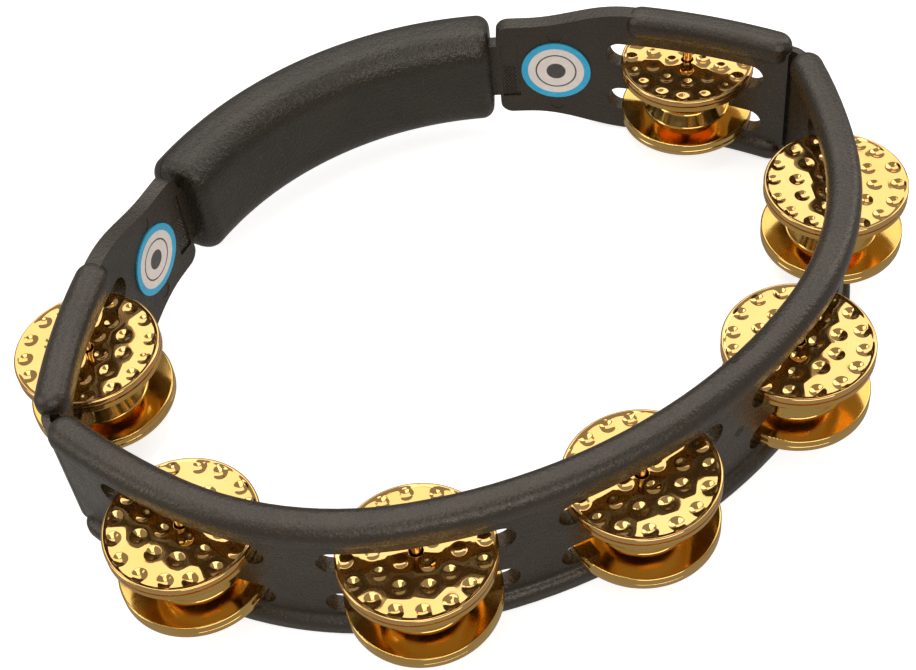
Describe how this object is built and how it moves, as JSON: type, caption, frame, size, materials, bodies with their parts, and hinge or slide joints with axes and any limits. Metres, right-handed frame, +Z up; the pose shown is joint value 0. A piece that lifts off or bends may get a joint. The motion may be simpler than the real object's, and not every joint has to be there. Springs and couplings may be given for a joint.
{
  "type": "hand tambourine",
  "caption": "D-shaped plastic hand tambourine with a thick grip, slotted frame and paired brass jingles that slide on upright pins.",
  "frame": {"origin": "on the surface it rests on, under the middle of its width and of its length from the front jingles to the back of the grip", "axes": "+X across the tambourine, +Y from the middle jingle station to the grip, +Z up from the lower rail to the upper rail"},
  "size_m": [0.2498, 0.209, 0.047],
  "materials": {
    "frame_plastic": "satin, fine moulded texture",
    "grip_plastic": "satin, fine grain",
    "core_plastic": "plain moulded",
    "flat_jingle_metal": "mirror polished and dimpled",
    "crowned_jingle_metal": "mirror polished",
    "pin_metal": "bright drawn wire",
    "badge_print": "printed sticker under clear film"
  },
  "bodies": {
    "frame": {"frame_front_arc": "frame_plastic", "frame_right_arm": "frame_plastic", "frame_left_arm": "frame_plastic", "grip_core": "core_plastic", "grip_outer_shell": "grip_plastic", "grip_inner_shell": "grip_plastic", "badge_right": "badge_print", "badge_left": "badge_print", "jingle_pin_1": "pin_metal", "jingle_pin_2": "pin_metal", "jingle_pin_3": "pin_metal", "jingle_pin_4": "pin_metal", "jingle_pin_5": "pin_metal", "jingle_pin_6": "pin_metal", "jingle_pin_7": "pin_metal"},
    "jingle_1_upper_crowned": {"jingle_1_upper_crowned": "crowned_jingle_metal"},
    "jingle_1_upper_flat": {"jingle_1_upper_flat": "flat_jingle_metal"},
    "jingle_1_lower_flat": {"jingle_1_lower_flat": "flat_jingle_metal"},
    "jingle_1_lower_crowned": {"jingle_1_lower_crowned": "crowned_jingle_metal"},
    "jingle_2_upper_crowned": {"jingle_2_upper_crowned": "crowned_jingle_metal"},
    "jingle_2_upper_flat": {"jingle_2_upper_flat": "flat_jingle_metal"},
    "jingle_2_lower_flat": {"jingle_2_lower_flat": "flat_jingle_metal"},
    "jingle_2_lower_crowned": {"jingle_2_lower_crowned": "crowned_jingle_metal"},
    "jingle_3_upper_crowned": {"jingle_3_upper_crowned": "crowned_jingle_metal"},
    "jingle_3_upper_flat": {"jingle_3_upper_flat": "flat_jingle_metal"},
    "jingle_3_lower_flat": {"jingle_3_lower_flat": "flat_jingle_metal"},
    "jingle_3_lower_crowned": {"jingle_3_lower_crowned": "crowned_jingle_metal"},
    "jingle_4_upper_crowned": {"jingle_4_upper_crowned": "crowned_jingle_metal"},
    "jingle_4_upper_flat": {"jingle_4_upper_flat": "flat_jingle_metal"},
    "jingle_4_lower_flat": {"jingle_4_lower_flat": "flat_jingle_metal"},
    "jingle_4_lower_crowned": {"jingle_4_lower_crowned": "crowned_jingle_metal"},
    "jingle_5_upper_crowned": {"jingle_5_upper_crowned": "crowned_jingle_metal"},
    "jingle_5_upper_flat": {"jingle_5_upper_flat": "flat_jingle_metal"},
    "jingle_5_lower_flat": {"jingle_5_lower_flat": "flat_jingle_metal"},
    "jingle_5_lower_crowned": {"jingle_5_lower_crowned": "crowned_jingle_metal"},
    "jingle_6_upper_crowned": {"jingle_6_upper_crowned": "crowned_jingle_metal"},
    "jingle_6_upper_flat": {"jingle_6_upper_flat": "flat_jingle_metal"},
    "jingle_6_lower_flat": {"jingle_6_lower_flat": "flat_jingle_metal"},
    "jingle_6_lower_crowned": {"jingle_6_lower_crowned": "crowned_jingle_metal"},
    "jingle_7_upper_crowned": {"jingle_7_upper_crowned": "crowned_jingle_metal"},
    "jingle_7_upper_flat": {"jingle_7_upper_flat": "flat_jingle_metal"},
    "jingle_7_lower_flat": {"jingle_7_lower_flat": "flat_jingle_metal"},
    "jingle_7_lower_crowned": {"jingle_7_lower_crowned": "crowned_jingle_metal"}
  },
  "joints": [
    {"name": "jingle_1_upper_crowned_rattle", "type": "slide", "parent": "frame", "child": "jingle_1_upper_crowned", "axis": [0, 0, 1], "range_m": [0, 0.0019]},
    {"name": "jingle_1_upper_flat_rattle", "type": "slide", "parent": "jingle_1_upper_crowned", "child": "jingle_1_upper_flat", "axis": [0, 0, 1], "range_m": [0, 0.0019]},
    {"name": "jingle_1_lower_flat_rattle", "type": "slide", "parent": "frame", "child": "jingle_1_lower_flat", "axis": [0, 0, 1], "range_m": [0, 0.0019]},
    {"name": "jingle_1_lower_crowned_rattle", "type": "slide", "parent": "jingle_1_lower_flat", "child": "jingle_1_lower_crowned", "axis": [0, 0, 1], "range_m": [0, 0.0019]},
    {"name": "jingle_2_upper_crowned_rattle", "type": "slide", "parent": "frame", "child": "jingle_2_upper_crowned", "axis": [0, 0, 1], "range_m": [0, 0.0019]},
    {"name": "jingle_2_upper_flat_rattle", "type": "slide", "parent": "jingle_2_upper_crowned", "child": "jingle_2_upper_flat", "axis": [0, 0, 1], "range_m": [0, 0.0019]},
    {"name": "jingle_2_lower_flat_rattle", "type": "slide", "parent": "frame", "child": "jingle_2_lower_flat", "axis": [0, 0, 1], "range_m": [0, 0.0019]},
    {"name": "jingle_2_lower_crowned_rattle", "type": "slide", "parent": "jingle_2_lower_flat", "child": "jingle_2_lower_crowned", "axis": [0, 0, 1], "range_m": [0, 0.0019]},
    {"name": "jingle_3_upper_crowned_rattle", "type": "slide", "parent": "frame", "child": "jingle_3_upper_crowned", "axis": [0, 0, 1], "range_m": [0, 0.0019]},
    {"name": "jingle_3_upper_flat_rattle", "type": "slide", "parent": "jingle_3_upper_crowned", "child": "jingle_3_upper_flat", "axis": [0, 0, 1], "range_m": [0, 0.0019]},
    {"name": "jingle_3_lower_flat_rattle", "type": "slide", "parent": "frame", "child": "jingle_3_lower_flat", "axis": [0, 0, 1], "range_m": [0, 0.0019]},
    {"name": "jingle_3_lower_crowned_rattle", "type": "slide", "parent": "jingle_3_lower_flat", "child": "jingle_3_lower_crowned", "axis": [0, 0, 1], "range_m": [0, 0.0019]},
    {"name": "jingle_4_upper_crowned_rattle", "type": "slide", "parent": "frame", "child": "jingle_4_upper_crowned", "axis": [0, 0, 1], "range_m": [0, 0.0019]},
    {"name": "jingle_4_upper_flat_rattle", "type": "slide", "parent": "jingle_4_upper_crowned", "child": "jingle_4_upper_flat", "axis": [0, 0, 1], "range_m": [0, 0.0019]},
    {"name": "jingle_4_lower_flat_rattle", "type": "slide", "parent": "frame", "child": "jingle_4_lower_flat", "axis": [0, 0, 1], "range_m": [0, 0.0019]},
    {"name": "jingle_4_lower_crowned_rattle", "type": "slide", "parent": "jingle_4_lower_flat", "child": "jingle_4_lower_crowned", "axis": [0, 0, 1], "range_m": [0, 0.0019]},
    {"name": "jingle_5_upper_crowned_rattle", "type": "slide", "parent": "frame", "child": "jingle_5_upper_crowned", "axis": [0, 0, 1], "range_m": [0, 0.0019]},
    {"name": "jingle_5_upper_flat_rattle", "type": "slide", "parent": "jingle_5_upper_crowned", "child": "jingle_5_upper_flat", "axis": [0, 0, 1], "range_m": [0, 0.0019]},
    {"name": "jingle_5_lower_flat_rattle", "type": "slide", "parent": "frame", "child": "jingle_5_lower_flat", "axis": [0, 0, 1], "range_m": [0, 0.0019]},
    {"name": "jingle_5_lower_crowned_rattle", "type": "slide", "parent": "jingle_5_lower_flat", "child": "jingle_5_lower_crowned", "axis": [0, 0, 1], "range_m": [0, 0.0019]},
    {"name": "jingle_6_upper_crowned_rattle", "type": "slide", "parent": "frame", "child": "jingle_6_upper_crowned", "axis": [0, 0, 1], "range_m": [0, 0.0019]},
    {"name": "jingle_6_upper_flat_rattle", "type": "slide", "parent": "jingle_6_upper_crowned", "child": "jingle_6_upper_flat", "axis": [0, 0, 1], "range_m": [0, 0.0019]},
    {"name": "jingle_6_lower_flat_rattle", "type": "slide", "parent": "frame", "child": "jingle_6_lower_flat", "axis": [0, 0, 1], "range_m": [0, 0.0019]},
    {"name": "jingle_6_lower_crowned_rattle", "type": "slide", "parent": "jingle_6_lower_flat", "child": "jingle_6_lower_crowned", "axis": [0, 0, 1], "range_m": [0, 0.0019]},
    {"name": "jingle_7_upper_crowned_rattle", "type": "slide", "parent": "frame", "child": "jingle_7_upper_crowned", "axis": [0, 0, 1], "range_m": [0, 0.0019]},
    {"name": "jingle_7_upper_flat_rattle", "type": "slide", "parent": "jingle_7_upper_crowned", "child": "jingle_7_upper_flat", "axis": [0, 0, 1], "range_m": [0, 0.0019]},
    {"name": "jingle_7_lower_flat_rattle", "type": "slide", "parent": "frame", "child": "jingle_7_lower_flat", "axis": [0, 0, 1], "range_m": [0, 0.0019]},
    {"name": "jingle_7_lower_crowned_rattle", "type": "slide", "parent": "jingle_7_lower_flat", "child": "jingle_7_lower_crowned", "axis": [0, 0, 1], "range_m": [0, 0.0019]}
  ]
}
